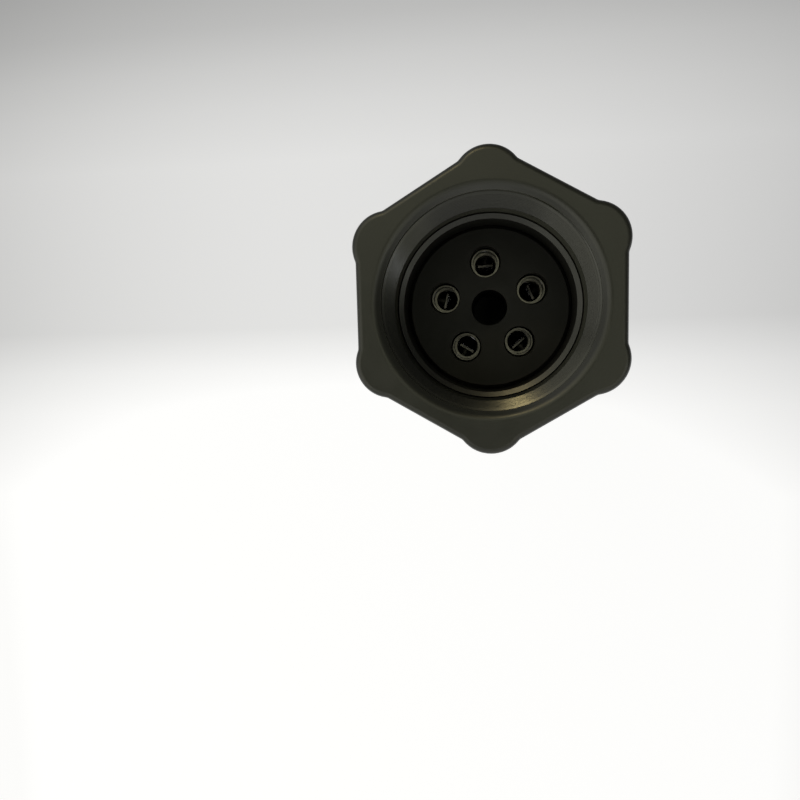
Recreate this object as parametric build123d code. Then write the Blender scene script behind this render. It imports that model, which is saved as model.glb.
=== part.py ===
from build123d import *
import os
from math import asin, cos, radians, sin

# A straight waterproof cable connector, seen from its mating face as a six-lobed union nut with a
# five-way contact insert deep inside it. It stands on the cable end of its gland. The axis is +Z, the
# mating face looks up, z = 0 is the end ring of the dome nut, and two lobes of the nut lie on the Y axis.

# Coupling nut
nut_length = 30.0
nut_rim_width = 2.4
nut_lobe_count = 6
lobe_rise = 2.45
lobe_radius = 4.65
lobe_junction_fillet = 1.2
hexagon_corner_trim = 0.75
nut_front_fillet = 0.8
nut_rear_chamfer = 1.2
mouth_chamfer_width = 0.8
mouth_chamfer_depth = 0.7
mouth_edge_fillet = 1.2
thread_wall_step = 0.55
thread_length = 12.0
thread_runout = 0.6
nut_shoulder_thickness = 3.2
nut_groove_depth = 1.4

# Housing
neck_wall = 0.7
neck_floor = 1.8
neck_rim_chamfer = 0.2
grip_wall = 3.7
grip_length = 19.7
grip_rib_count = 18
grip_rib_radius = 0.9
grip_rib_height = 0.7
grip_rib_margin = 2.2
collar_rise = 2.7
collar_length = 2.0
rear_cone_length = 5.0
rear_boss_wall = 3.5
rear_boss_length = 9.5
rear_boss_flat_depth = 1.0
moulded_edge = 0.5

# Insert and contacts
contact_count = 5
first_contact_angle = 94.4
contact_inset = 4.1
insert_body_radius = 11.3
insert_head_step = 1.5
insert_head_thickness = 3.4
insert_setback = 6.0
insert_length = 23.0
insert_bead_height = 0.4
insert_bead_length = 1.0
key_width = 2.0
key_height = 0.8
key_length = 12.0
guide_hole_wall = 1.2
guide_hole_depth = 18.0
contact_setback = 2.5
socket_radius = 1.75
socket_length = 5.5
socket_mouth_step = 0.25
socket_mouth_depth = 4.0
contact_front_wall = 0.6
contact_front_length = 4.6
contact_tip_chamfer = 0.12
contact_rear_step = 0.85
contact_length = 19.5
wire_bore_step = 0.5

# Clamp screws and plates
screw_radius = 1.3
screw_height = 7.0
screw_slot_width = 0.5
screw_slot_depth = 0.8
screw_tip_chamfer = 0.2
screw_end_recess = 0.4
plate_setback = 0.5
plate_thickness = 0.4
plate_width = 2.6
plate_height = 5.0
plate_tooth_count = 6
plate_tooth_depth = 0.16

# Snap ring
snap_ring_thickness = 1.2
snap_ring_section = 2.0
snap_ring_seat_depth = 0.85
snap_ring_gap = 4.0

# Cable gland
gland_thread_radius = 10.0
gland_thread_depth = 0.8
gland_flat_wall = 1.85
gland_corner_rise = 1.3
gland_flange_thickness = 5.5
gland_upper_length = 9.0
gland_lower_length = 12.0
gland_thread_gap = 3.5
gland_spigot_wall = 1.5
gland_mouth_flare = 0.7
gland_pocket_length = 10.5
gland_stop_width = 1.5
o_ring_section = 1.5
o_ring_offset = 1.4
hex_corner_chamfer = 0.8

# Grommet, clamp cage and dome nut
grommet_wall = 2.2
grommet_chamfer = 0.6
cage_ring_rim = 1.0
cage_ring_thickness = 2.0
cage_finger_count = 8
cage_finger_length = 13.0
cage_finger_thickness = 1.0
cage_tip_taper = 0.5
cage_slot_width = 1.2
dome_length = 21.0
dome_hex_length = 11.0
dome_end_width = 2.65
dome_end_wall = 3.2
dome_hole_play = 0.55
dome_hole_chamfer = 0.5

# Clearances
running_gap = 0.3
neck_play = 0.15
face_gap = 0.05
seat_gap = 0.1
screw_gap = 0.08
thread_gap = 0.15
contact_gap = 0.05
contact_float = 0.1
insert_gap = 0.2

# Radii that follow from the insert outwards
insert_head_radius = insert_body_radius + insert_head_step
housing_bore_radius = insert_body_radius + insert_gap
housing_pocket_radius = insert_head_radius + seat_gap
neck_radius = housing_pocket_radius + neck_wall
collar_radius = neck_radius + collar_rise
grip_radius = housing_bore_radius + grip_wall
snap_seat_radius = neck_radius - snap_ring_seat_depth
snap_inner_radius = snap_seat_radius + seat_gap
snap_outer_radius = snap_inner_radius + snap_ring_section
nut_bore_radius = neck_radius + neck_play
nut_groove_radius = nut_bore_radius + nut_groove_depth
thread_root_radius = nut_bore_radius + thread_wall_step
mouth_radius = thread_root_radius + mouth_chamfer_width
nut_flat_radius = mouth_radius + nut_rim_width
lobe_reach = nut_flat_radius + lobe_rise

# Radii that follow inside the insert
contact_circle_radius = insert_body_radius - contact_inset
socket_mouth_radius = socket_radius + socket_mouth_step
contact_front_radius = socket_radius + contact_front_wall
contact_rear_radius = contact_front_radius + contact_rear_step
wire_bore_radius = socket_radius + wire_bore_step
guide_hole_radius = contact_circle_radius - contact_rear_radius - guide_hole_wall
plate_inner = contact_circle_radius + plate_setback - plate_thickness / 2
plate_outer = plate_inner + plate_thickness
screw_tip = plate_outer + face_gap
screw_end = insert_body_radius - screw_end_recess

# Radii that follow from the gland's thread
rear_boss_radius = gland_thread_radius + rear_boss_wall
o_ring_mean_radius = gland_thread_radius + o_ring_offset
gland_root_radius = gland_thread_radius - gland_thread_depth
gland_pocket_radius = gland_root_radius - gland_spigot_wall
gland_mouth_radius = gland_pocket_radius + gland_mouth_flare
gland_passage_radius = gland_pocket_radius - gland_stop_width
grommet_radius = gland_pocket_radius - cage_finger_thickness
grommet_bore_radius = grommet_radius - grommet_wall
cage_finger_inner = grommet_radius + running_gap
cage_finger_outer = cage_finger_inner + cage_finger_thickness
cage_ring_radius = cage_finger_outer + cage_ring_rim
cage_ring_bore = gland_passage_radius
dome_bore_radius = gland_thread_radius + thread_gap
dome_hole_radius = cage_ring_bore + dome_hole_play
dome_end_radius = dome_hole_radius + dome_end_width
gland_flat_radius = dome_bore_radius + gland_flat_wall
gland_corner_radius = gland_flat_radius + gland_corner_rise

# Heights from the standing face upwards
gland_mouth = dome_length + gland_thread_gap - gland_lower_length
gland_pocket_top = gland_mouth + gland_pocket_length
flange_bottom = dome_length + gland_thread_gap
flange_top = flange_bottom + gland_flange_thickness
housing_bottom = flange_top + o_ring_section
boss_top = housing_bottom + rear_boss_length
grip_bottom = boss_top + rear_cone_length
collar_bottom = grip_bottom + grip_length
housing_shoulder = collar_bottom + collar_length
nut_bottom = housing_shoulder + running_gap
nut_top = nut_bottom + nut_length
nut_groove_bottom = nut_bottom + nut_shoulder_thickness
snap_bottom = nut_groove_bottom + running_gap
snap_top = snap_bottom + snap_ring_thickness
insert_seat = snap_top + seat_gap + neck_floor
insert_face = insert_seat + insert_head_thickness
insert_bottom = insert_face - insert_length
neck_top = insert_face + insert_setback
contact_top = insert_face - contact_setback
contact_bottom = contact_top - contact_length
socket_bottom = contact_top - socket_mouth_depth - socket_length
contact_step = contact_top - contact_front_length
screw_level = contact_bottom + screw_height


def turned(*outline):
    # a closed outline of (radius, height) points, turned about the axis
    return revolve(make_face(Polyline(*[(r, 0, z) for r, z in outline], close=True)), Axis.Z)


def ring(outer, inner, bottom, top):
    return turned((inner, bottom), (outer, bottom), (outer, top), (inner, top))


def rod(radius, bottom, top, x=0.0, y=0.0):
    return Pos(x, y, (bottom + top) / 2) * Cylinder(radius, top - bottom)


def around(count, first=0.0):
    return [first + 360.0 * k / count for k in range(count)]


def hex_bar(flat_radius, bottom, top):
    # corners on the Y axis, as on the coupling nut
    outline = RegularPolygon(flat_radius, 6, major_radius=False, rotation=30)
    return Pos(0, 0, bottom) * extrude(outline, top - bottom)


def lobed_outline():
    # a hexagon whose corners are rounded lobes, a little wider than the corners that they replace
    hexagon = RegularPolygon(nut_flat_radius, nut_lobe_count, major_radius=False, rotation=30)
    lobe_centre = lobe_reach - lobe_radius
    outline = hexagon & Circle(lobe_reach - hexagon_corner_trim)
    for angle in around(nut_lobe_count, 90):
        outline += Rot(0, 0, angle) * Pos(lobe_centre, 0) * Circle(lobe_radius)
    return fillet(outline.vertices(), lobe_junction_fillet)


def make_coupling_nut():
    body = Pos(0, 0, nut_bottom) * extrude(lobed_outline(), nut_length)
    body = fillet(body.faces().sort_by(Axis.Z)[-1].edges(), nut_front_fillet)
    body = chamfer(body.faces().sort_by(Axis.Z)[0].edges(), nut_rear_chamfer)
    thread_top = nut_top - mouth_chamfer_depth
    thread_bottom = thread_top - thread_length
    groove_top = snap_top + running_gap
    bore = turned(
        (0, nut_bottom),
        (nut_bore_radius + moulded_edge, nut_bottom),
        (nut_bore_radius, nut_bottom + moulded_edge),
        (nut_bore_radius, nut_groove_bottom),
        (nut_groove_radius, nut_groove_bottom),
        (nut_groove_radius, groove_top),
        (nut_bore_radius, groove_top),
        (nut_bore_radius, thread_bottom - thread_runout),
        (thread_root_radius, thread_bottom),
        (thread_root_radius, thread_top),
        (mouth_radius, nut_top),
        (0, nut_top),
    )
    body -= bore
    circles = body.edges().filter_by(GeomType.CIRCLE).group_by(Axis.Z)[-1]
    rim = circles.sort_by(lambda edge: abs(edge.radius - mouth_radius))[0]
    return fillet(rim, mouth_edge_fillet)


def make_snap_ring():
    whole = ring(snap_outer_radius, snap_inner_radius, snap_bottom, snap_top)
    gap = Pos(snap_outer_radius, 0, (snap_bottom + snap_top) / 2) * Box(
        2 * snap_ring_section + snap_ring_gap, snap_ring_gap, 2 * snap_ring_thickness
    )
    return whole - gap


def grip_ribs():
    # half-round ribs let into the grip, their ends cut back by a cone
    bottom = grip_bottom + grip_rib_margin
    top = collar_bottom - grip_rib_margin
    reach = grip_radius + grip_rib_height
    centre = reach - grip_rib_radius
    ribs = [
        rod(grip_rib_radius, bottom, top, centre * cos(radians(a)), centre * sin(radians(a)))
        for a in around(grip_rib_count, 180 / grip_rib_count)
    ]
    envelope = turned(
        (0, bottom),
        (grip_radius, bottom),
        (reach, bottom + 2 * grip_rib_height),
        (reach, top - 2 * grip_rib_height),
        (grip_radius, top),
        (0, top),
    )
    return [rib & envelope for rib in ribs]


def insert_key(extra, bottom, top):
    outer = insert_body_radius + key_height + extra
    width = key_width + 2 * extra
    return Pos(0, outer / 2, (bottom + top) / 2) * Box(width, outer, top - bottom)


def make_housing():
    snap_seat_bottom = snap_bottom - seat_gap
    snap_seat_top = snap_top + seat_gap
    outside = turned(
        (0, housing_bottom),
        (rear_boss_radius - moulded_edge, housing_bottom),
        (rear_boss_radius, housing_bottom + moulded_edge),
        (rear_boss_radius, boss_top),
        (grip_radius, grip_bottom),
        (grip_radius, collar_bottom),
        (collar_radius - moulded_edge, collar_bottom),
        (collar_radius, collar_bottom + moulded_edge),
        (collar_radius, housing_shoulder - moulded_edge),
        (collar_radius - moulded_edge, housing_shoulder),
        (neck_radius, housing_shoulder),
        (neck_radius, snap_seat_bottom),
        (snap_seat_radius, snap_seat_bottom),
        (snap_seat_radius, snap_seat_top),
        (neck_radius, snap_seat_top),
        (neck_radius, neck_top),
        (0, neck_top),
    )
    flats = Pos(0, 0, (housing_bottom + boss_top) / 2) * Box(
        3 * rear_boss_radius, 3 * rear_boss_radius, rear_boss_length
    )
    flats -= Pos(0, 0, (housing_bottom + boss_top) / 2) * Box(
        2 * (rear_boss_radius - rear_boss_flat_depth), 3 * rear_boss_radius, rear_boss_length
    )
    bead_bottom = insert_bottom + insert_bead_length
    bead_top = bead_bottom + insert_bead_length + 2 * face_gap
    thread_end = housing_bottom + gland_upper_length + 2 * moulded_edge
    inside = turned(
        (0, housing_bottom),
        (gland_thread_radius + moulded_edge, housing_bottom),
        (gland_thread_radius, housing_bottom + moulded_edge),
        (gland_thread_radius, thread_end),
        (housing_bore_radius, thread_end + housing_bore_radius - gland_thread_radius),
        (housing_bore_radius, bead_bottom - face_gap),
        (housing_bore_radius + insert_bead_height, bead_bottom - face_gap),
        (housing_bore_radius + insert_bead_height, bead_top - face_gap),
        (housing_bore_radius, bead_top - face_gap),
        (housing_bore_radius, insert_seat),
        (housing_pocket_radius, insert_seat),
        (housing_pocket_radius, neck_top - neck_rim_chamfer),
        (housing_pocket_radius + neck_rim_chamfer, neck_top),
        (0, neck_top),
    )
    keyway = insert_key(seat_gap, insert_seat - key_length - seat_gap, insert_seat)
    return outside + grip_ribs() - flats - inside - keyway


def contact_places():
    return [
        (contact_circle_radius * cos(radians(a)), contact_circle_radius * sin(radians(a)), a)
        for a in around(contact_count, first_contact_angle)
    ]


def radial(shape, angle, level):
    # a shape drawn along +X from the axis, turned to its place round the insert
    return Rot(0, 0, angle) * Pos(0, 0, level) * shape


def cross_rod(radius, start, end):
    return Pos((start + end) / 2, 0, 0) * Rot(0, 90, 0) * Cylinder(radius, end - start)


def make_insert():
    bead_bottom = insert_bottom + insert_bead_length
    bead_top = bead_bottom + insert_bead_length
    block = turned(
        (0, insert_bottom),
        (insert_body_radius - moulded_edge, insert_bottom),
        (insert_body_radius, insert_bottom + moulded_edge),
        (insert_body_radius, bead_bottom),
        (insert_body_radius + insert_bead_height, bead_bottom + insert_bead_length / 4),
        (insert_body_radius + insert_bead_height, bead_top - insert_bead_length / 4),
        (insert_body_radius, bead_top),
        (insert_body_radius, insert_seat),
        (insert_head_radius, insert_seat),
        (insert_head_radius, insert_face - moulded_edge),
        (insert_head_radius - moulded_edge, insert_face),
        (0, insert_face),
    )
    block += insert_key(0, insert_seat - key_length, insert_seat)
    block -= rod(guide_hole_radius, insert_face - guide_hole_depth, insert_face)
    front_hole = contact_front_radius + contact_float
    rear_hole = contact_rear_radius + contact_gap
    for x, y, angle in contact_places():
        block -= rod(front_hole, contact_step, insert_face, x, y)
        block -= rod(rear_hole, insert_bottom, contact_step + contact_gap, x, y)
        passage = cross_rod(screw_radius + 2 * screw_gap, contact_circle_radius, housing_bore_radius)
        block -= radial(passage, angle, screw_level)
    return block


def make_contact_tube(x, y, angle):
    wall = turned(
        (wire_bore_radius, contact_bottom),
        (contact_rear_radius, contact_bottom),
        (contact_rear_radius, contact_step),
        (contact_front_radius, contact_step),
        (contact_front_radius, contact_top - contact_tip_chamfer),
        (contact_front_radius - contact_tip_chamfer, contact_top),
        (socket_mouth_radius, contact_top),
        (socket_mouth_radius, contact_top - socket_mouth_depth),
        (socket_radius, contact_top - socket_mouth_depth),
        (socket_radius, socket_bottom),
        (wire_bore_radius, socket_bottom - wire_bore_step),
    )
    tube = Pos(x, y, 0) * wall
    tapping = cross_rod(
        screw_radius + screw_gap, contact_circle_radius, contact_circle_radius + 2 * contact_rear_radius
    )
    return tube - radial(tapping, angle, screw_level)


def make_clamp_plate(angle):
    # a flat plate across the tube, with upright teeth on the side that grips the wire
    pitch = plate_width / plate_tooth_count
    edge = [(plate_outer, plate_width / 2), (plate_outer, -plate_width / 2)]
    for k in range(plate_tooth_count):
        start = -plate_width / 2 + k * pitch
        edge += [(plate_inner + plate_tooth_depth, start), (plate_inner, start + pitch / 2)]
    edge += [(plate_inner + plate_tooth_depth, plate_width / 2)]
    plate = extrude(make_face(Polyline(*edge, close=True)), plate_height)
    return radial(Pos(0, 0, -plate_height / 2) * plate, angle, screw_level)


def make_clamp_screw(angle):
    shank = cross_rod(screw_radius, screw_tip, screw_end)
    ends = shank.edges().filter_by(GeomType.CIRCLE)
    shank = chamfer(ends, screw_tip_chamfer)
    slot = Pos(screw_end, 0, 0) * Box(2 * screw_slot_depth, 3 * screw_radius, screw_slot_width)
    return radial(shank - slot, angle, screw_level)


def chamfered_hex(bottom, top):
    # a spanner hexagon with its corners turned back at both ends
    turned_corners = turned(
        (0, bottom),
        (gland_corner_radius - hex_corner_chamfer, bottom),
        (gland_corner_radius, bottom + hex_corner_chamfer / 2),
        (gland_corner_radius, top - hex_corner_chamfer / 2),
        (gland_corner_radius - hex_corner_chamfer, top),
        (0, top),
    )
    return hex_bar(gland_flat_radius, bottom, top) & turned_corners


def make_gland_body():
    top = housing_bottom + gland_upper_length
    body = chamfered_hex(flange_bottom, flange_top)
    body += rod(gland_root_radius, gland_mouth, flange_bottom)
    body += rod(gland_thread_radius - seat_gap, flange_top, top)
    body -= turned(
        (0, gland_mouth),
        (gland_mouth_radius, gland_mouth),
        (gland_pocket_radius, (gland_mouth + gland_pocket_top) / 2),
        (gland_pocket_radius, gland_pocket_top),
        (gland_passage_radius, gland_pocket_top),
        (gland_passage_radius, top),
        (0, top),
    )
    return body


def make_gland_o_ring():
    level = (flange_top + housing_bottom) / 2
    section = Plane.XZ * Pos(o_ring_mean_radius, level) * Circle(o_ring_section / 2 - face_gap / 2)
    return revolve(section, Axis.Z)


def make_grommet():
    top = gland_pocket_top - face_gap
    bottom = dome_end_wall + cage_ring_thickness + 2 * face_gap
    return turned(
        (grommet_bore_radius + grommet_chamfer, bottom),
        (grommet_radius - grommet_chamfer, bottom),
        (grommet_radius, bottom + grommet_chamfer),
        (grommet_radius, top - grommet_chamfer),
        (grommet_radius - grommet_chamfer, top),
        (grommet_bore_radius + grommet_chamfer, top),
        (grommet_bore_radius, top - grommet_chamfer),
        (grommet_bore_radius, bottom + grommet_chamfer),
    )


def make_clamp_cage():
    # a thrust ring with fingers that stand up round the grommet into the gland's mouth
    bottom = dome_end_wall + face_gap
    ring_top = bottom + cage_ring_thickness
    tip = ring_top + cage_finger_length
    fingers = turned(
        (cage_finger_inner, ring_top),
        (cage_finger_outer, ring_top),
        (cage_finger_outer, gland_mouth),
        (cage_finger_outer - cage_tip_taper, tip),
        (cage_finger_inner, tip),
    )
    for angle in around(cage_finger_count):
        slot = Pos(cage_finger_outer, 0, (ring_top + tip) / 2) * Box(
            cage_finger_outer, cage_slot_width, tip - ring_top
        )
        fingers -= Rot(0, 0, angle) * slot
    return ring(cage_ring_radius, cage_ring_bore, bottom, ring_top) + fingers


def make_dome_nut():
    # the dome is one arc that leaves the hexagon's corners and ends on the standing ring
    dome_top = dome_length - dome_hex_length
    inset = gland_corner_radius - dome_end_radius
    dome_arc = (inset ** 2 + dome_top ** 2) / (2 * inset)
    middle = asin(dome_top / dome_arc) / 2
    waypoint = (
        gland_corner_radius - dome_arc + dome_arc * cos(middle), 0, dome_top - dome_arc * sin(middle)
    )
    profile = Polyline(
        (dome_end_radius, 0, 0),
        (0, 0, 0),
        (0, 0, dome_length),
        (gland_corner_radius - hex_corner_chamfer, 0, dome_length),
        (gland_corner_radius, 0, dome_length - hex_corner_chamfer / 2),
        (gland_corner_radius, 0, dome_top),
    )
    dome = ThreePointArc((gland_corner_radius, 0, dome_top), waypoint, (dome_end_radius, 0, 0))
    nut = revolve(make_face(profile + dome), Axis.Z) & hex_bar(gland_flat_radius, 0, dome_length)
    cage_room = cage_ring_radius + running_gap
    room_top = dome_end_wall + face_gap + cage_ring_thickness + running_gap
    return nut - turned(
        (0, 0),
        (dome_hole_radius + dome_hole_chamfer, 0),
        (dome_hole_radius, dome_hole_chamfer),
        (dome_hole_radius, dome_end_wall),
        (cage_room, dome_end_wall),
        (cage_room, room_top),
        (dome_bore_radius, room_top + dome_bore_radius - cage_room),
        (dome_bore_radius, dome_length - moulded_edge),
        (dome_bore_radius + moulded_edge, dome_length),
        (0, dome_length),
    )


def make_parts():
    parts = {
        "coupling_nut": make_coupling_nut(),
        "snap_ring": make_snap_ring(),
        "housing": make_housing(),
        "insert": make_insert(),
        "gland_body": make_gland_body(),
        "gland_o_ring": make_gland_o_ring(),
        "grommet": make_grommet(),
        "clamp_cage": make_clamp_cage(),
        "dome_nut": make_dome_nut(),
    }
    for number, (x, y, angle) in enumerate(contact_places(), start=1):
        parts[f"contact_tube_{number}"] = make_contact_tube(x, y, angle)
        parts[f"clamp_plate_{number}"] = make_clamp_plate(angle)
        parts[f"clamp_screw_{number}"] = make_clamp_screw(angle)
    return parts


os.makedirs("parts", exist_ok=True)
for name, shape in make_parts().items():
    export_step(shape, f"parts/{name}.step")
    print(name, round(shape.volume, 1))
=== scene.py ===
import bpy
from math import atan2, cos, hypot, pi, radians, sin, tau
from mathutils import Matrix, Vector


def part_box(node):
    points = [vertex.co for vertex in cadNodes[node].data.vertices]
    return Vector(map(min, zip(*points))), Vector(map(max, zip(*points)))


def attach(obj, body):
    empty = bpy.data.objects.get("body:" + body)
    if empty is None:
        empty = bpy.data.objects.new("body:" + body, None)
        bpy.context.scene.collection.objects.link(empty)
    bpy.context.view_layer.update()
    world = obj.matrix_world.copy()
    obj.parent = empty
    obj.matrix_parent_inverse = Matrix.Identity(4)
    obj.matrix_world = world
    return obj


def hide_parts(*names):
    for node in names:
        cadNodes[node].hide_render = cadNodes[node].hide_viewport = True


# Waterproof cable connector, standing on its gland and seen from above into its mating face.
# Lengths are in metres, but for the threads and the neck's rim, which are in millimetres.

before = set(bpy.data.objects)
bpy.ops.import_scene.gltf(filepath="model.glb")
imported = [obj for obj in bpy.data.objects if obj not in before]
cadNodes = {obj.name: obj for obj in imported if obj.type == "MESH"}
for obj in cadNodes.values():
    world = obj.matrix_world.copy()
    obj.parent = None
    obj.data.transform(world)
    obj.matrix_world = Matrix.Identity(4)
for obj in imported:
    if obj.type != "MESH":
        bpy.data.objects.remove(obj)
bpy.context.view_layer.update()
bpy.ops.object.select_all(action="DESELECT")
print("frame loaded:", len(cadNodes), "nodes")

mm = 0.001
nearly = 0.01 * mm  # how far off still counts as in place
contactNumbers = range(1, 6)


def activate(piece):
    bpy.ops.object.select_all(action="DESELECT")
    piece.select_set(True)
    bpy.context.view_layer.objects.active = piece


def pickVertices(piece, test):
    # leaves edit mode on, with only the vertices that pass the test selected
    activate(piece)
    bpy.ops.object.mode_set(mode="EDIT")
    bpy.ops.mesh.select_all(action="DESELECT")
    bpy.ops.object.mode_set(mode="OBJECT")
    for vertex in piece.data.vertices:
        vertex.select = test(vertex.co)
    bpy.ops.object.mode_set(mode="EDIT")
    bpy.ops.mesh.select_mode(type="VERT")


def applyPlace(piece):
    activate(piece)
    bpy.ops.object.transform_apply(location=True, rotation=True, scale=True)


class Wiring:
    # short calls to add nodes to a material or to the world
    def __init__(self, owner, placeKind):
        owner.use_nodes = True
        self.owner = owner
        self.nodes = owner.node_tree.nodes
        self.links = owner.node_tree.links
        self.place = self.add("TexCoord").outputs[placeKind]

    def feed(self, value, slot):
        # another node's output is joined, a colour or a number is written in
        if hasattr(value, "is_linked"):
            self.links.new(value, slot)
        elif slot.type == "RGBA":
            slot.default_value = (*value, 1)
        else:
            slot.default_value = value

    def add(self, kind, inputs=None, **settings):
        node = self.nodes.new("ShaderNode" + kind)
        for key, value in settings.items():
            setattr(node, key, value)
        for key, value in (inputs or {}).items():
            self.feed(value, node.inputs[key])
        return node

    def math(self, operation, first, second):
        return self.add("Math", {0: first, 1: second}, operation=operation).outputs[0]

    def blend(self, share, first, second):
        # inputs 6 and 7 and output 2 are the ones for colours
        return self.add("Mix", {"Factor": share, 6: first, 7: second}, data_type="RGBA").outputs[2]

    def between(self, value, low, high, floor=0.0):
        # floor at low and less, 1 at high and more
        inputs = {"Value": value, "From Min": low, "From Max": high, "To Min": floor}
        return self.add("MapRange", inputs).outputs[0]

    def moved(self, offset):
        self.place = self.add("Mapping", {"Vector": self.place, "Location": offset}).outputs["Vector"]

    def turnedPlace(self):
        # radius and height only, so that a pattern runs round the axis as tool marks do
        parts = self.add("SeparateXYZ", {0: self.place}).outputs
        flat = self.add("CombineXYZ", {"X": parts["X"], "Y": parts["Y"]}).outputs[0]
        radius = self.add("VectorMath", {0: flat}, operation="LENGTH").outputs["Value"]
        return self.add("CombineXYZ", {"X": radius, "Z": parts["Z"]}).outputs[0]

    def insideRing(self, zone):
        # 1 between two radii and above a height, elsewhere 0
        parts = self.add("SeparateXYZ", {0: self.turnedPlace()}).outputs
        outside = self.math("GREATER_THAN", parts["X"], zone["from"])
        inside = self.math("LESS_THAN", parts["X"], zone["to"])
        above = self.math("GREATER_THAN", parts["Z"], zone["above"])
        return self.math("MULTIPLY", self.math("MULTIPLY", outside, inside), above)

    def zoned(self, tone, zones):
        for zone in zones:
            tone = self.blend(self.insideRing(zone), tone, zone["tone"])
        return tone

    def noise(self, size, detail, rough, place=None):
        # size is the width of one patch
        inputs = {"Vector": place or self.place, "Scale": 1 / size, "Detail": detail, "Roughness": rough}
        return self.add("TexNoise", inputs).outputs["Fac"]

    def ramp(self, source, stops):
        # stops are pairs of a place between 0 and 1 and the colour or grey there
        ramp = self.add("ValToRGB", {"Fac": source})
        points = ramp.color_ramp.elements
        while len(points) < len(stops):
            points.new(0.5)
        for point, (position, tone) in zip(points, stops):
            point.position = position
            point.color = (*tone, 1) if isinstance(tone, tuple) else (tone, tone, tone, 1)
        return ramp.outputs["Color"]

    def fade(self, source, spread, first, second):
        return self.ramp(source, [(spread[0], first), (spread[1], second)])

    def bump(self, height, depth, strength, under=None):
        bump = self.add("Bump", {"Height": height, "Distance": depth, "Strength": strength})
        if under:
            self.feed(under, bump.inputs["Normal"])
        return bump.outputs["Normal"]

    def shownRays(self):
        # 1 for what the camera sees, straight or mirrored, and 0 for the light that things get
        path = self.add("LightPath").outputs
        seen = self.math("MAXIMUM", path["Is Camera Ray"], path["Is Glossy Ray"])
        return self.math("MAXIMUM", seen, path["Is Transmission Ray"])

    def give(self, values):
        shader = self.nodes["Principled BSDF"]
        for key, value in values.items():
            self.feed(value, shader.inputs[key])
        return self.owner


def newFinish(name):
    return Wiring(bpy.data.materials.new(name), "Object")


def mouldedPlastic(name, look):
    finish = newFinish(name)
    tones = look["darkTone"], look["lightTone"]
    patches = finish.noise(look["patchSize"], detail=3.0, rough=0.55)
    streaks = finish.noise(look["streakWidth"], detail=4.0, rough=0.6, place=finish.turnedPlace())
    tone = finish.fade(patches, look["patchSpread"], *tones)
    tone = finish.blend(look["streakShare"], tone, finish.fade(streaks, look["streakSpread"], *tones))
    specks = finish.noise(look["dustSize"], detail=2.0, rough=0.5)
    dust = finish.fade(specks, look["dustSpread"], 0.0, 1.0)
    tone = finish.blend(finish.math("MULTIPLY", dust, look["dustShare"]), tone, look["dustTone"])
    tone = finish.zoned(tone, look["zones"])
    rubbed = finish.noise(look["glossPatch"], detail=4.0, rough=0.6)
    gloss = finish.fade(rubbed, look["glossSpread"], look["roughLow"], look["roughHigh"])
    grain = finish.noise(look["grainSize"], detail=2.0, rough=0.6)
    normal = finish.bump(grain, look["grainDepth"], look["grainStrength"])
    normal = finish.bump(streaks, look["streakDepth"], look["streakStrength"], normal)
    return finish.give({
        "Base Color": tone, "Roughness": gloss, "Specular IOR Level": look["specular"], "Normal": normal,
    })


nutLook = {
    "darkTone": (0.0222, 0.0230, 0.0170), "lightTone": (0.0295, 0.0305, 0.0228),
    "patchSize": 12 * mm, "patchSpread": (0.30, 0.72),
    "streakWidth": 0.5 * mm, "streakSpread": (0.35, 0.65), "streakShare": 0.25,
    "streakDepth": 0.006 * mm, "streakStrength": 0.5,
    "dustSize": 0.35 * mm, "dustSpread": (0.70, 0.78), "dustShare": 0.10, "dustTone": (0.16, 0.155, 0.14),
    "glossPatch": 5 * mm, "glossSpread": (0.30, 0.70), "roughLow": 0.28, "roughHigh": 0.38, "specular": 0.42,
    "grainSize": 0.16 * mm, "grainDepth": 0.006 * mm, "grainStrength": 0.6,
    # painted light: the run-out under the thread is lightened, standing in for the lit lower edge of the wall
    "zones": [{"from": 13.6 * mm, "to": 14.32 * mm, "above": 84.5 * mm, "tone": (0.060, 0.061, 0.049)}],
}
# smoother, or the grain would scatter the columns of light on the flanks
threadLook = dict(
    nutLook, roughLow=0.21, roughHigh=0.27, specular=0.45,
    streakDepth=0.002 * mm, grainDepth=0.002 * mm, zones=[],
)
housingLook = dict(
    nutLook, darkTone=(0.0235, 0.0238, 0.0200), lightTone=(0.0310, 0.0312, 0.0265), dustShare=0.14,
    zones=[
        # the rim of the neck gets one even tone, a little lighter than the mottled plastic and without its
        # dust
        {"from": 12.88 * mm, "to": 13.7 * mm, "above": 83.5 * mm, "tone": (0.030, 0.031, 0.025)},
    ],
)
glandLook = dict(
    nutLook, darkTone=(0.0250, 0.0252, 0.0225), lightTone=(0.0330, 0.0332, 0.0300),
    grainSize=0.22 * mm, zones=[],
)
insertLook = dict(
    nutLook, darkTone=(0.0050, 0.0052, 0.0039), lightTone=(0.0086, 0.0089, 0.0066), streakShare=0.10,
    dustTone=(0.05, 0.05, 0.045), dustShare=0.05, roughLow=0.50, roughHigh=0.62, specular=0.28, zones=[],
)
nutPlastic = mouldedPlastic("nutPlastic", nutLook)
threadPlastic = mouldedPlastic("threadPlastic", threadLook)
housingPlastic = mouldedPlastic("housingPlastic", housingLook)
glandPlastic = mouldedPlastic("glandPlastic", glandLook)
insertPlastic = mouldedPlastic("insertPlastic", insertLook)


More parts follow.
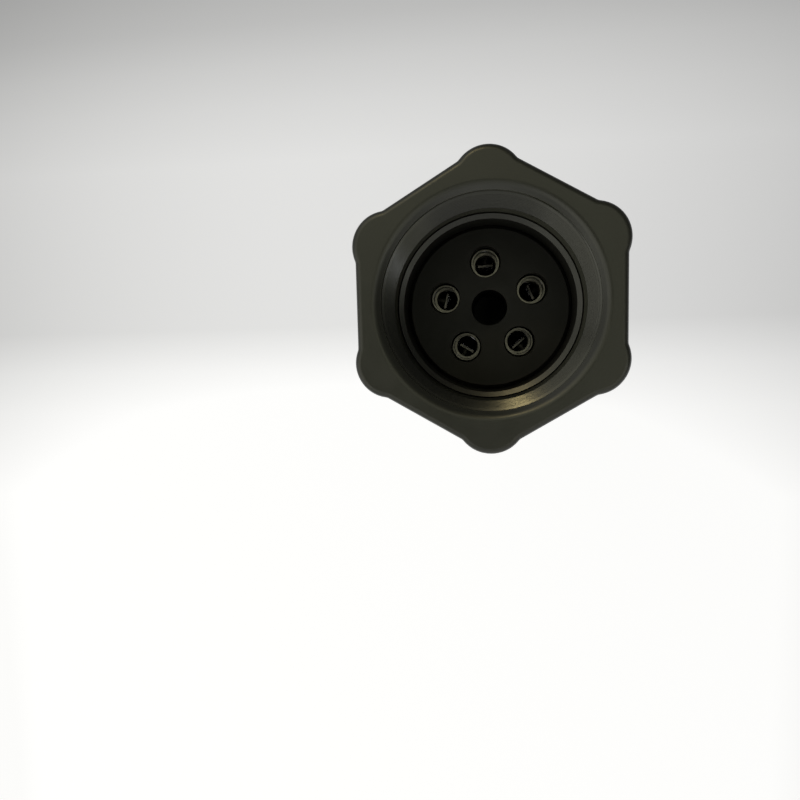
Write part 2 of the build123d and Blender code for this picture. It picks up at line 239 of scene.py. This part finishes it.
def turnedMetal(name, look, centre=(0, 0)):
    finish = newFinish(name)
    finish.moved((-centre[0], -centre[1], 0))
    tones = look["darkTone"], look["lightTone"]
    marks = finish.noise(look["markWidth"], detail=4.0, rough=0.65, place=finish.turnedPlace())
    stain = finish.noise(look["stainSize"], detail=3.0, rough=0.6)
    tone = finish.fade(stain, look["toneSpread"], *tones)
    tone = finish.blend(look["markShare"], tone, finish.fade(marks, look["toneSpread"], *tones))
    tone = finish.zoned(tone, look["zones"])
    gloss = finish.fade(marks, look["glossSpread"], look["roughLow"], look["roughHigh"])
    normal = finish.bump(marks, look["markDepth"], look["markStrength"])
    return finish.give({"Base Color": tone, "Metallic": 1.0, "Roughness": gloss, "Normal": normal})


contactLook = {
    "darkTone": (0.14, 0.137, 0.120), "lightTone": (0.28, 0.272, 0.237), "toneSpread": (0.35, 0.65),
    "markWidth": 0.10 * mm, "markShare": 0.3, "markDepth": 0.008 * mm, "markStrength": 0.6,
    "stainSize": 1.5 * mm, "glossSpread": (0.3, 0.7), "roughLow": 0.22, "roughHigh": 0.34, "zones": [],
}
# painted shade: the outside of a contact tube, from 2.2 mm out, is darkened for the shadow of its hole in the
# insert
tubeLook = dict(
    contactLook, zones=[{"from": 2.2 * mm, "to": 4 * mm, "above": 0, "tone": (0.035, 0.034, 0.030)}],
)
clampLook = dict(
    contactLook, darkTone=(0.24, 0.235, 0.22), lightTone=(0.42, 0.41, 0.385), roughLow=0.38, roughHigh=0.52,
)
screwLook = dict(
    clampLook, darkTone=(0.060, 0.059, 0.055), lightTone=(0.110, 0.108, 0.100), roughLow=0.42, roughHigh=0.58,
)
springLook = dict(
    contactLook, darkTone=(0.40, 0.40, 0.40), lightTone=(0.54, 0.54, 0.53), markWidth=0.2 * mm,
)
clampSteel = turnedMetal("clampSteel", clampLook)
screwSteel = turnedMetal("screwSteel", screwLook)
springSteel = turnedMetal("springSteel", springLook)


def sealRubberFinish(name, look):
    finish = newFinish(name)
    bloom = finish.noise(look["bloomSize"], detail=4.0, rough=0.6)
    tone = finish.fade(bloom, look["toneSpread"], look["darkTone"], look["lightTone"])
    gloss = finish.fade(bloom, look["glossSpread"], look["roughLow"], look["roughHigh"])
    grain = finish.noise(look["grainSize"], detail=3.0, rough=0.6)
    normal = finish.bump(grain, look["grainDepth"], look["grainStrength"])
    return finish.give({
        "Base Color": tone, "Roughness": gloss, "Specular IOR Level": look["specular"], "Normal": normal,
    })


sealLook = {
    "darkTone": (0.012, 0.012, 0.012), "lightTone": (0.022, 0.022, 0.021), "toneSpread": (0.35, 0.70),
    "bloomSize": 2.5 * mm, "glossSpread": (0.3, 0.7), "roughLow": 0.62, "roughHigh": 0.78, "specular": 0.35,
    "grainSize": 0.12 * mm, "grainDepth": 0.015 * mm, "grainStrength": 0.6,
}
sealRubber = sealRubberFinish("sealRubber", sealLook)

finishByNode = {
    "coupling_nut": nutPlastic, "snap_ring": springSteel, "housing": housingPlastic, "insert": insertPlastic,
    "gland_body": glandPlastic, "gland_o_ring": sealRubber, "grommet": sealRubber,
    "clamp_cage": glandPlastic, "dome_nut": glandPlastic,
}
for number in contactNumbers:
    low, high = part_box(f"contact_tube_{number}")
    middle = ((low.x + high.x) / 2, (low.y + high.y) / 2)
    finishByNode[f"contact_tube_{number}"] = turnedMetal(f"contactMetal{number}", tubeLook, middle)
    finishByNode[f"clamp_plate_{number}"] = clampSteel
    finishByNode[f"clamp_screw_{number}"] = screwSteel
for name, node in cadNodes.items():
    node.data.materials.clear()
    node.data.materials.append(finishByNode[name])
print("finishes on the solids:", len(cadNodes))


# inner, outer and within are radii; only the points inside within and between lowest and highest move
neckRim = {
    "inner": 12.9, "outer": 13.6, "within": 13.15, "top": 84.0, "lowest": 83.7, "highest": 84.01,
    "drop": 0.34, "smoothAngle": 20,
}


def slopeNeckRim(rim):
    # the housing again, with the rim of its neck sloping in towards the insert
    source = cadNodes["housing"]
    shell = bpy.data.objects.new("housingWithRim", source.data.copy())
    bpy.context.scene.collection.objects.link(shell)
    pickVertices(shell, lambda co: True)
    bpy.ops.mesh.remove_doubles(threshold=0.001 * mm)
    bpy.ops.object.mode_set(mode="OBJECT")
    moved = 0
    for vertex in shell.data.vertices:
        radius, height = hypot(vertex.co.x, vertex.co.y) / mm, vertex.co.z / mm
        if radius < rim["within"] and rim["lowest"] < height < rim["highest"]:
            share = (rim["outer"] - radius) / (rim["outer"] - rim["inner"])
            vertex.co.z = (rim["top"] - rim["drop"] * share) * mm
            moved += 1
    activate(shell)
    bpy.ops.mesh.customdata_custom_splitnormals_clear()
    bpy.ops.object.shade_smooth_by_angle(angle=radians(rim["smoothAngle"]))
    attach(shell, "shell")
    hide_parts("housing")
    print("neck rim sloped, points moved:", moved)


slopeNeckRim(neckRim)

# wall and crest are radii, low and high the heights of the ends
matingThread = {
    "name": "matingThread", "wall": 14.3, "crest": 13.94, "pitch": 1.0, "low": 85.7, "high": 96.9,
    "baseWidth": 0.50, "crestShare": 0.20, "bury": 0.06, "round": 0.03, "fadeTurns": 0.35,
    "stepsPerTurn": 72, "smoothAngle": 12,
}
glandThread = {
    "name": "glandThread", "wall": 9.2, "crest": 10.0, "pitch": 1.5, "low": 13.4, "high": 23.9,
    "baseWidth": 1.36, "crestShare": 0.26, "bury": 0.06, "round": 0.08, "fadeTurns": 0.35,
    "stepsPerTurn": 72, "smoothAngle": 12,
}


def cutThread(thread, body, finish):
    # a flat profile beside the axis, screwed up the wall, with its ends run out into the wall
    inward = -1 if thread["crest"] < thread["wall"] else 1
    foot = thread["wall"] - inward * thread["bury"]
    depth = abs(thread["crest"] - foot)
    middle = (foot + thread["crest"]) / 2
    bpy.ops.mesh.primitive_plane_add(size=1, location=(middle * mm, 0, 0), rotation=(pi / 2, 0, 0))
    ridge = bpy.context.active_object
    ridge.name = thread["name"]
    ridge.scale = (depth * mm, thread["baseWidth"] * mm, 1)
    applyPlace(ridge)
    crest = thread["crest"] * mm
    pickVertices(ridge, lambda co: abs(co.x - crest) < nearly)
    bpy.ops.transform.resize(value=(1, 1, thread["crestShare"]))
    bpy.ops.mesh.bevel(offset=thread["round"] * mm, segments=3, affect="VERTICES")
    bpy.ops.mesh.select_all(action="SELECT")
    bpy.ops.mesh.delete(type="ONLY_FACE")
    bpy.ops.object.mode_set(mode="OBJECT")
    turns = (thread["high"] - thread["low"]) / thread["pitch"]
    wind = ridge.modifiers.new("wind", "SCREW")
    wind.axis = "Z"
    wind.angle = tau * turns
    wind.screw_offset = (thread["high"] - thread["low"]) * mm
    wind.steps = wind.render_steps = round(thread["stepsPerTurn"] * turns)
    wind.use_merge_vertices = False
    bpy.ops.object.modifier_apply(modifier=wind.name)
    pitch = thread["pitch"] * mm
    for vertex in ridge.data.vertices:
        x, y, z = vertex.co
        share = (atan2(y, x) / tau) % 1
        turn = share + round(z / pitch - share)
        nearEnd = min(turn, turns - turn) / thread["fadeTurns"]
        if nearEnd < 1:
            radius = hypot(x, y)
            height = (radius - foot * mm) * (max(nearEnd, 0) ** 0.5)
            vertex.co.x = x / radius * (foot * mm + height)
            vertex.co.y = y / radius * (foot * mm + height)
        vertex.co.z = z + thread["low"] * mm
    bpy.ops.object.mode_set(mode="EDIT")
    bpy.ops.mesh.select_all(action="SELECT")
    bpy.ops.mesh.fill_holes(sides=0)
    bpy.ops.mesh.select_all(action="SELECT")
    bpy.ops.mesh.normals_make_consistent(inside=False)
    bpy.ops.object.mode_set(mode="OBJECT")
    bpy.ops.object.shade_smooth_by_angle(angle=radians(thread["smoothAngle"]))  # keeps the flanks flat
    ridge.data.materials.append(finish)
    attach(ridge, body)
    print(thread["name"], "turns", round(turns, 2), "faces", len(ridge.data.polygons))


cutThread(matingThread, "coupling", threadPlastic)
cutThread(glandThread, "shell", glandPlastic)


stageLook = {
    "width": 6.0, "sink": 0.02 * mm, "rough": 0.9, "litShare": 0.30, "shownStrength": 1.25,
    # painted shade: the floor darkens towards +Y, given as places along Y and the grey there, as shares of
    # the brightest grey, which is over white and clips
    "brightest": 1.25,
    "greys": [
        (-0.050, 1.00), (-0.025, 0.86), (-0.013, 0.76), (-0.008, 0.70), (-0.001, 0.62), (0.045, 0.62),
        (0.060, 0.56), (0.071, 0.50), (0.082, 0.42), (0.100, 0.34),
    ],
    # painted shade: the grey falls off to both sides of this place on X, no further than the cap lets it
    "middle": -0.035, "sideReach": 0.108, "sideLoss": 0.19, "sideCap": 1.2,
}


def makeFloor(look):
    bpy.ops.mesh.primitive_plane_add(size=look["width"], location=(0, 0, -look["sink"]))
    floor = bpy.context.active_object
    floor.name = "floor"
    applyPlace(floor)
    finish = newFinish("paperFloor")
    parts = finish.add("SeparateXYZ", {0: finish.place}).outputs
    first, last = look["greys"][0][0], look["greys"][-1][0]
    stops = [((y - first) / (last - first), grey) for y, grey in look["greys"]]
    # painted shade: the floor grey is darker along Y and towards both sides on X
    along = finish.ramp(finish.between(parts["Y"], first, last), stops)
    aside = finish.math("SUBTRACT", parts["X"], look["middle"])
    aside = finish.math("DIVIDE", aside, look["sideReach"])
    aside = finish.math("MINIMUM", finish.math("MULTIPLY", aside, aside), look["sideCap"])
    loss = finish.math("MULTIPLY", aside, look["brightest"] * look["sideLoss"])
    across = finish.math("SUBTRACT", look["brightest"], loss)
    grey = finish.math("MINIMUM", finish.math("MULTIPLY", along, across), 1.0)
    finish.give({"Base Color": grey, "Roughness": look["rough"], "Specular IOR Level": 0.0})
    lit = finish.nodes["Principled BSDF"].outputs[0]
    shown = finish.add("Emission", {"Color": grey, "Strength": look["shownStrength"]}).outputs[0]
    share = finish.math("MULTIPLY", finish.shownRays(), 1 - look["litShare"])
    mix = finish.add("MixShader", {0: share, 1: lit, 2: shown}).outputs[0]
    finish.feed(mix, finish.nodes["Material Output"].inputs["Surface"])
    floor.data.materials.append(finish.owner)


makeFloor(stageLook)

worldLook = {
    # pale round the horizon, but for a dark side
    "aroundTone": (0.60, 0.60, 0.58), "sideTone": (0.12, 0.12, 0.11),
    "sideWay": (0.74, 0.67, 0.0), "sideSpread": (0.36, 0.50),
    # overhead it runs from dark, where the photographer stands, to a warm grey, with the dark camera on top
    "darkTone": (0.03, 0.03, 0.03), "warmTone": (0.93, 0.93, 0.72),
    "overheadWay": (0.62, 0.78, 0.0), "overheadSpread": (-0.16, -0.10),
    "riseSpread": (0.30, 0.70), "cameraSpread": (0.984, 0.990), "ambient": 0.20,
}


def makeWorld(look):
    world = bpy.data.worlds.new("studio")
    bpy.context.scene.world = world
    sky = Wiring(world, "Generated")
    height = sky.add("SeparateXYZ", {0: sky.place}).outputs["Z"]

    def shareAlong(way, spread):
        lean = sky.add("VectorMath", {0: sky.place, 1: way}, operation="DOT_PRODUCT").outputs["Value"]
        return sky.between(lean, *spread)

    warm = shareAlong(look["overheadWay"], look["overheadSpread"])
    tone = sky.blend(warm, look["darkTone"], look["warmTone"])
    tone = sky.blend(sky.between(height, *look["cameraSpread"]), tone, look["darkTone"])
    tone = sky.blend(sky.between(height, *look["riseSpread"]), look["aroundTone"], tone)
    tone = sky.blend(shareAlong(look["sideWay"], look["sideSpread"]), tone, look["sideTone"])
    background = sky.nodes["Background"].inputs
    sky.feed(tone, background["Color"])
    sky.feed(sky.between(sky.shownRays(), 0.0, 1.0, look["ambient"]), background["Strength"])


makeWorld(worldLook)

# azimuth and elevation in degrees, distance and size in metres, power in watts
lamps = {
    "key": {
        "azimuth": 200, "elevation": 45, "distance": 0.60, "size": 0.58, "power": 1.00,
        "tone": (1.0, 0.99, 0.84),
    },
    "frontFill": {
        "azimuth": 274, "elevation": 44, "distance": 0.60, "size": 0.70, "power": 0.80,
        "tone": (1.0, 0.99, 0.92),
    },
    "leftFill": {
        "azimuth": 138, "elevation": 44, "distance": 0.60, "size": 0.50, "power": 0.24,
        "tone": (1.0, 0.98, 0.90),
    },
}
# small windows that only show as reflections
windows = {
    "warmWindow": {
        "azimuth": 106.5, "elevation": 48, "distance": 0.50, "size": 0.05, "power": 0.29,
        "tone": (1.0, 0.80, 0.36),
    },
    "sideWindow": {
        "azimuth": -19, "elevation": 51, "distance": 0.55, "size": 0.08, "power": 0.055,
        "tone": (0.93, 0.96, 1.0),
    },
}
lampTarget = Vector((0, 0, 0.075))


def hangLamp(name, lamp):
    turn, lift = radians(lamp["azimuth"]), radians(lamp["elevation"])
    way = Vector((cos(lift) * cos(turn), cos(lift) * sin(turn), sin(lift)))
    light = bpy.data.lights.new(name, "AREA")
    light.shape = "DISK"
    light.size = lamp["size"]
    light.energy = lamp["power"]
    light.color = lamp["tone"]
    holder = bpy.data.objects.new(name, light)
    holder.location = lampTarget + way * lamp["distance"]
    holder.rotation_euler = way.to_track_quat("Z", "Y").to_euler()
    holder.visible_camera = False
    bpy.context.scene.collection.objects.link(holder)
    return holder


for name, lamp in lamps.items():
    hangLamp(name, lamp)
for name, window in windows.items():
    hangLamp(name, window).visible_diffuse = False

cameraLook = {
    "place": (-0.00007, -0.00387, 0.18542), "turn": (-5.811, 7.5829, -1.503),
    "lens": 29.97, "sensor": 36.0, "clipStart": 5 * mm,
}


def makeCamera(look):
    data = bpy.data.cameras.new("camera")
    data.lens = look["lens"]
    data.sensor_width = look["sensor"]
    data.clip_start = look["clipStart"]
    camera = bpy.data.objects.new("camera", data)
    camera.location = look["place"]
    camera.rotation_euler = [radians(angle) for angle in look["turn"]]
    bpy.context.scene.collection.objects.link(camera)
    bpy.context.scene.camera = camera


makeCamera(cameraLook)
bpy.context.scene.view_settings.view_transform = "Standard"
print("stage, lamps and camera set")
